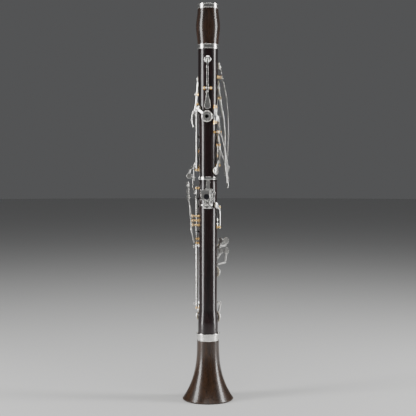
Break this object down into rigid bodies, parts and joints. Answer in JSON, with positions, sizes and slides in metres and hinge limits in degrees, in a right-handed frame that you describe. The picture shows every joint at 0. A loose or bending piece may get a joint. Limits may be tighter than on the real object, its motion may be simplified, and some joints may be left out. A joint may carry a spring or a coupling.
{
  "type": "clarinet",
  "caption": "Clarinet of the common ring-key system without its mouthpiece, with sprung keys, sliding barrel and adjustable thumb rest, standing on its bell.",
  "frame": {"origin": "centre of the bell's foot on the axis of the bore", "axes": "+Z along the bore towards the barrel, +Y towards the finger holes, +X to the player's right"},
  "size_m": [0.0762, 0.0762, 0.587],
  "materials": {
    "barrel_wood": "polished",
    "bell_wood": "polished",
    "joint_wood": "satin gloss",
    "key_silver": "polished silver plate",
    "ring_silver": "polished silver plate",
    "tube_silver": "silver plate",
    "gold_plate": "polished gold plate",
    "rod_steel": "polished",
    "tenon_cork": "cut cork",
    "pad_skin": "pale skin"
  },
  "bodies": {
    "root": {"middle_ring": "ring_silver", "upper_tenon_cork": "tenon_cork", "middle_tenon_cork": "tenon_cork", "bell_tenon_cork": "tenon_cork", "bell_body": "bell_wood", "bell_ring": "ring_silver", "register_vent_tube": "tube_silver", "thumb_tube": "tube_silver", "upper_posts": "gold_plate", "upper_hinge_rods": "rod_steel", "upper_joint_body": "joint_wood", "lower_posts": "gold_plate", "lower_hinge_rods": "rod_steel", "thumb_rest_screws": "rod_steel", "thumb_rest_plate": "key_silver", "lower_joint_body": "joint_wood"},
    "first_ring_key": {"first_ring_key": "key_silver", "first_ring_pad": "pad_skin"},
    "bridge_ring_key": {"bridge_ring_key": "key_silver", "bridge_ring_pad": "pad_skin"},
    "register_key": {"register_key": "key_silver", "register_pad": "pad_skin"},
    "thumb_ring_key": {"thumb_ring_key": "key_silver", "thumb_ring_pad": "pad_skin"},
    "a_key": {"a_key": "key_silver", "a_pad": "pad_skin"},
    "g_sharp_key": {"g_sharp_key": "key_silver", "g_sharp_pad": "pad_skin"},
    "side_key_1": {"side_key_1": "key_silver", "side_pad_1": "pad_skin"},
    "side_key_2": {"side_key_2": "key_silver", "side_pad_2": "pad_skin"},
    "side_key_3": {"side_key_3": "key_silver", "side_pad_3": "pad_skin"},
    "side_key_4": {"side_key_4": "key_silver", "side_pad_4": "pad_skin"},
    "c_sharp_key": {"c_sharp_key": "key_silver", "c_sharp_pad": "pad_skin"},
    "upper_sliver_key": {"upper_sliver_key": "key_silver", "upper_sliver_pad": "pad_skin"},
    "three_ring_key": {"three_ring_key": "key_silver", "three_ring_pad": "pad_skin"},
    "e_key": {"e_key": "key_silver", "e_pad": "pad_skin"},
    "f_key": {"f_key": "key_silver", "f_pad": "pad_skin"},
    "a_flat_key": {"a_flat_key": "key_silver", "a_flat_pad": "pad_skin"},
    "f_sharp_key": {"f_sharp_key": "key_silver", "f_sharp_pad": "pad_skin"},
    "lower_sliver_key": {"lower_sliver_key": "key_silver", "lower_sliver_pad": "pad_skin"},
    "left_f_sharp_lever": {"left_f_sharp_lever": "key_silver"},
    "left_e_lever": {"left_e_lever": "key_silver"},
    "left_f_lever": {"left_f_lever": "key_silver"},
    "barrel": {"barrel_body": "barrel_wood", "barrel_top_ring": "ring_silver", "barrel_bottom_ring": "ring_silver"},
    "thumb_rest": {"thumb_rest_hook": "key_silver"},
    "thumb_rest_lock": {"thumb_rest_lock_screw": "key_silver"}
  },
  "joints": [
    {"name": "first_ring_key_hinge", "type": "hinge", "parent": "root", "child": "first_ring_key", "pos_m": [-0.01661, 0.00383, 0.4001], "axis": [0, 0, 1], "range_deg": [-5, 0], "stiffness_Nm_per_rad": 0.05, "springref_deg": 3.44},
    {"name": "bridge_ring_key_hinge", "type": "hinge", "parent": "root", "child": "bridge_ring_key", "pos_m": [-0.01661, 0.00383, 0.3453], "axis": [0, 0, 1], "range_deg": [-5, 0], "stiffness_Nm_per_rad": 0.05, "springref_deg": 3.44},
    {"name": "register_key_hinge", "type": "hinge", "parent": "root", "child": "register_key", "pos_m": [-0.00325, -0.01845, 0.463], "axis": [0.9994, -0.0349, 0], "range_deg": [0, 4], "stiffness_Nm_per_rad": 0.05, "springref_deg": -3.44},
    {"name": "thumb_ring_key_hinge", "type": "hinge", "parent": "root", "child": "thumb_ring_key", "pos_m": [0.01143, -0.01362, 0.4153], "axis": [0, 0, 1], "range_deg": [-4.5, 0], "stiffness_Nm_per_rad": 0.05, "springref_deg": 3.44},
    {"name": "a_key_hinge", "type": "hinge", "parent": "root", "child": "a_key", "pos_m": [0.00097, 0.01871, 0.462], "axis": [-0.9962, -0.0872, 0], "range_deg": [0, 6], "stiffness_Nm_per_rad": 0.05, "springref_deg": -3.44},
    {"name": "g_sharp_key_hinge", "type": "hinge", "parent": "root", "child": "g_sharp_key", "pos_m": [-0.01325, 0.01324, 0.455], "axis": [-0.6018, -0.7986, 0], "range_deg": [0, 4], "stiffness_Nm_per_rad": 0.05, "springref_deg": -3.44},
    {"name": "side_key_1_hinge", "type": "hinge", "parent": "root", "child": "side_key_1", "pos_m": [0.01871, -0.00097, 0.48], "axis": [-0.0872, 0.9962, 0], "range_deg": [0, 4], "stiffness_Nm_per_rad": 0.12, "springref_deg": -3.44},
    {"name": "side_key_2_hinge", "type": "hinge", "parent": "root", "child": "side_key_2", "pos_m": [0.01736, 0.00702, 0.45], "axis": [-0.5, 0.866, 0], "range_deg": [0, 4], "stiffness_Nm_per_rad": 0.12, "springref_deg": -3.44},
    {"name": "side_key_3_hinge", "type": "hinge", "parent": "root", "child": "side_key_3", "pos_m": [0.01513, -0.00827, 0.399], "axis": [0.342, 0.9397, 0], "range_deg": [0, 4], "stiffness_Nm_per_rad": 0.12, "springref_deg": -3.44},
    {"name": "side_key_4_hinge", "type": "hinge", "parent": "root", "child": "side_key_4", "pos_m": [0.01668, -0.00354, 0.3523], "axis": [0, 0, 1], "range_deg": [0, 6], "stiffness_Nm_per_rad": 0.12, "springref_deg": -3.44},
    {"name": "c_sharp_key_hinge", "type": "hinge", "parent": "root", "child": "c_sharp_key", "pos_m": [-0.01477, 0.00852, 0.3488], "axis": [0, 0, 1], "range_deg": [0, 6], "stiffness_Nm_per_rad": 0.05, "springref_deg": -3.44},
    {"name": "upper_sliver_key_hinge", "type": "hinge", "parent": "root", "child": "upper_sliver_key", "pos_m": [0.01397, 0.00978, 0.3663], "axis": [0, 0, 1], "range_deg": [0, 6], "stiffness_Nm_per_rad": 0.05, "springref_deg": -3.44},
    {"name": "three_ring_key_hinge", "type": "hinge", "parent": "root", "child": "three_ring_key", "pos_m": [-0.01676, 0.00387, 0.2428], "axis": [0, 0, 1], "range_deg": [-5, 0], "stiffness_Nm_per_rad": 0.05, "springref_deg": 3.44},
    {"name": "e_key_hinge", "type": "hinge", "parent": "root", "child": "e_key", "pos_m": [-0.01676, 0.00387, 0.1393], "axis": [0, 0, 1], "range_deg": [-3, 0], "stiffness_Nm_per_rad": 0.05, "springref_deg": 3.44},
    {"name": "f_key_hinge", "type": "hinge", "parent": "root", "child": "f_key", "pos_m": [0.00239, 0.01703, 0.2043], "axis": [0, 0, 1], "range_deg": [-8, 0], "stiffness_Nm_per_rad": 0.05, "springref_deg": 3.44},
    {"name": "a_flat_key_hinge", "type": "hinge", "parent": "root", "child": "a_flat_key", "pos_m": [0.00239, 0.01703, 0.2307], "axis": [0, 0, -1], "range_deg": [0, 8], "stiffness_Nm_per_rad": 0.05, "springref_deg": -3.44},
    {"name": "f_sharp_key_hinge", "type": "hinge", "parent": "root", "child": "f_sharp_key", "pos_m": [-0.01059, 0.01355, 0.2037], "axis": [0, 0, -1], "range_deg": [0, 4], "stiffness_Nm_per_rad": 0.05, "springref_deg": -3.44},
    {"name": "lower_sliver_key_hinge", "type": "hinge", "parent": "root", "child": "lower_sliver_key", "pos_m": [0.0172, 0, 0.2603], "axis": [0, 0, 1], "range_deg": [0, 6], "stiffness_Nm_per_rad": 0.05, "springref_deg": -3.44},
    {"name": "left_f_sharp_lever_hinge", "type": "hinge", "parent": "root", "child": "left_f_sharp_lever", "pos_m": [-0.02263, 0.00053, 0.2746], "axis": [-0.0872, 0.9962, 0], "range_deg": [0, 4], "stiffness_Nm_per_rad": 0.05, "springref_deg": -3.44},
    {"name": "left_e_lever_hinge", "type": "hinge", "parent": "root", "child": "left_e_lever", "pos_m": [-0.02296, 0.00432, 0.2679], "axis": [-0.0872, 0.9962, 0], "range_deg": [0, 4], "stiffness_Nm_per_rad": 0.05, "springref_deg": -3.44},
    {"name": "left_f_lever_hinge", "type": "hinge", "parent": "root", "child": "left_f_lever", "pos_m": [-0.02329, 0.0081, 0.2612], "axis": [-0.0872, 0.9962, 0], "range_deg": [0, 4], "stiffness_Nm_per_rad": 0.05, "springref_deg": -3.44},
    {"name": "barrel_draw", "type": "slide", "parent": "root", "child": "barrel", "axis": [0, 0, 1], "range_m": [0, 0.004]},
    {"name": "thumb_rest_slide", "type": "slide", "parent": "root", "child": "thumb_rest", "axis": [0, 0, 1], "range_m": [-0.007, 0.007]},
    {"name": "thumb_rest_lock_turn", "type": "hinge", "parent": "thumb_rest", "child": "thumb_rest_lock", "pos_m": [-0.0022, -0.01885, 0.3038], "axis": [0, -1, 0], "range_deg": [0, 180]}
  ],
  "couplings": [
    {"joint": "bridge_ring_key_hinge", "follows": "three_ring_key_hinge", "ratio": 1},
    {"joint": "left_e_lever_hinge", "follows": "e_key_hinge", "ratio": -1.3333},
    {"joint": "left_f_lever_hinge", "follows": "f_key_hinge", "ratio": -0.5},
    {"joint": "left_f_sharp_lever_hinge", "follows": "f_sharp_key_hinge", "ratio": 1}
  ]
}
